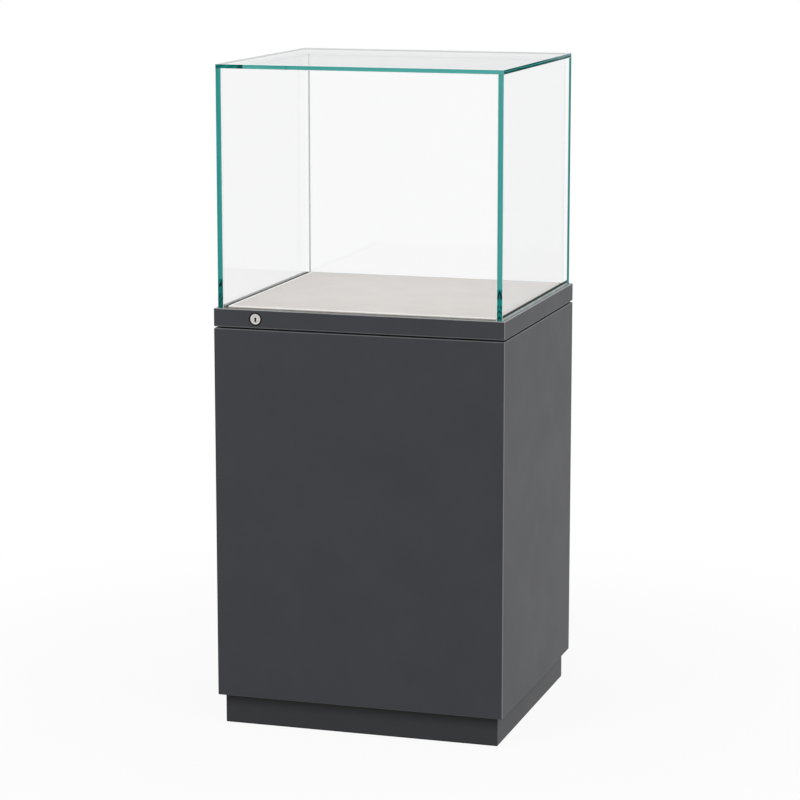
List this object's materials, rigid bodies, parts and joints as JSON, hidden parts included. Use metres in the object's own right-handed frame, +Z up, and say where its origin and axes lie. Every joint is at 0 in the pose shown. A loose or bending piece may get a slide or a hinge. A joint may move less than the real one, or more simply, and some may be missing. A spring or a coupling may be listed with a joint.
{
  "type": "pedestal display case",
  "caption": "Free-standing pedestal display case: sheet-steel pedestal on a set-back plinth, with a lockable lift-off hood of bonded glass in a steel frame over a pale deck.",
  "frame": {"origin": "middle of the footprint, on the floor", "axes": "+Z up, -Y towards the front with the lock, +X to the right seen from the front"},
  "size_m": [0.6, 0.55, 1.34],
  "materials": {
    "body_coat": "fine satin powder coat, anthracite grey",
    "frame_coat": "fine satin powder coat, anthracite grey",
    "plinth_coat": "fine satin powder coat, anthracite grey",
    "inner_steel": "matt black primer",
    "bare_steel": "zinc-plated steel",
    "black_screws": "blackened steel",
    "black_plastic": "matt black plastic",
    "seal_rubber": "matt black rubber",
    "foot_rubber": "matt black rubber",
    "deck_paint": "board with a matt pale grey coating",
    "glazing_tape": "translucent glazing tape",
    "clear_glass": "clear laminated glass with polished green edges",
    "lock_black": "black plastic",
    "nickel": "satin nickel"
  },
  "bodies": {
    "pedestal": {"plinth_front": "plinth_coat", "plinth_back": "plinth_coat", "plinth_left": "plinth_coat", "plinth_right": "plinth_coat", "floor_plate": "inner_steel", "foot_nuts": "bare_steel", "corner_posts": "inner_steel", "bottom_rails": "inner_steel", "top_rails": "inner_steel", "body_front": "body_coat", "body_left": "body_coat", "body_right": "body_coat", "body_rear": "body_coat", "access_bars": "inner_steel", "access_panel": "body_coat", "access_screws": "black_screws", "top_plate": "inner_steel", "keeper_plate": "bare_steel", "keeper_screws": "bare_steel", "hood_pads": "black_plastic", "dust_seal": "seal_rubber", "locating_pins": "bare_steel", "deck_riser": "inner_steel"},
    "foot_front_left": {"foot_pad_front_left": "foot_rubber", "foot_spindle_front_left": "bare_steel"},
    "foot_front_right": {"foot_pad_front_right": "foot_rubber", "foot_spindle_front_right": "bare_steel"},
    "foot_back_left": {"foot_pad_back_left": "foot_rubber", "foot_spindle_back_left": "bare_steel"},
    "foot_back_right": {"foot_pad_back_right": "foot_rubber", "foot_spindle_back_right": "bare_steel"},
    "deck": {"deck_board": "deck_paint", "deck_cleats": "black_plastic"},
    "hood": {"hood_rail_front": "frame_coat", "hood_rail_back": "frame_coat", "hood_rail_left": "frame_coat", "hood_rail_right": "frame_coat", "glazing_bed": "glazing_tape", "pane_front": "clear_glass", "pane_back": "clear_glass", "pane_left": "clear_glass", "pane_right": "clear_glass", "pane_top": "clear_glass", "pin_guides": "black_plastic", "lock_plate": "inner_steel", "lock_collar": "lock_black", "lock_barrel": "nickel", "lock_clip": "bare_steel"},
    "lock": {"lock_plug": "nickel", "lock_cam": "bare_steel", "cam_screw": "bare_steel"}
  },
  "joints": [
    {"name": "hood_lift", "type": "slide", "parent": "pedestal", "child": "hood", "axis": [0, 0, 1], "range_m": [0, 0.55]},
    {"name": "lock_turn", "type": "hinge", "parent": "hood", "child": "lock", "pos_m": [-0.212, -0.275, 0.8385], "axis": [0, 1, 0], "range_deg": [0, 90]},
    {"name": "deck_lift", "type": "slide", "parent": "pedestal", "child": "deck", "axis": [0, 0, 1], "range_m": [0, 0.1]},
    {"name": "foot_front_left_screw", "type": "slide", "parent": "pedestal", "child": "foot_front_left", "axis": [0, 0, -1], "range_m": [0, 0.012]},
    {"name": "foot_front_right_screw", "type": "slide", "parent": "pedestal", "child": "foot_front_right", "axis": [0, 0, -1], "range_m": [0, 0.012]},
    {"name": "foot_back_left_screw", "type": "slide", "parent": "pedestal", "child": "foot_back_left", "axis": [0, 0, -1], "range_m": [0, 0.012]},
    {"name": "foot_back_right_screw", "type": "slide", "parent": "pedestal", "child": "foot_back_right", "axis": [0, 0, -1], "range_m": [0, 0.012]}
  ]
}
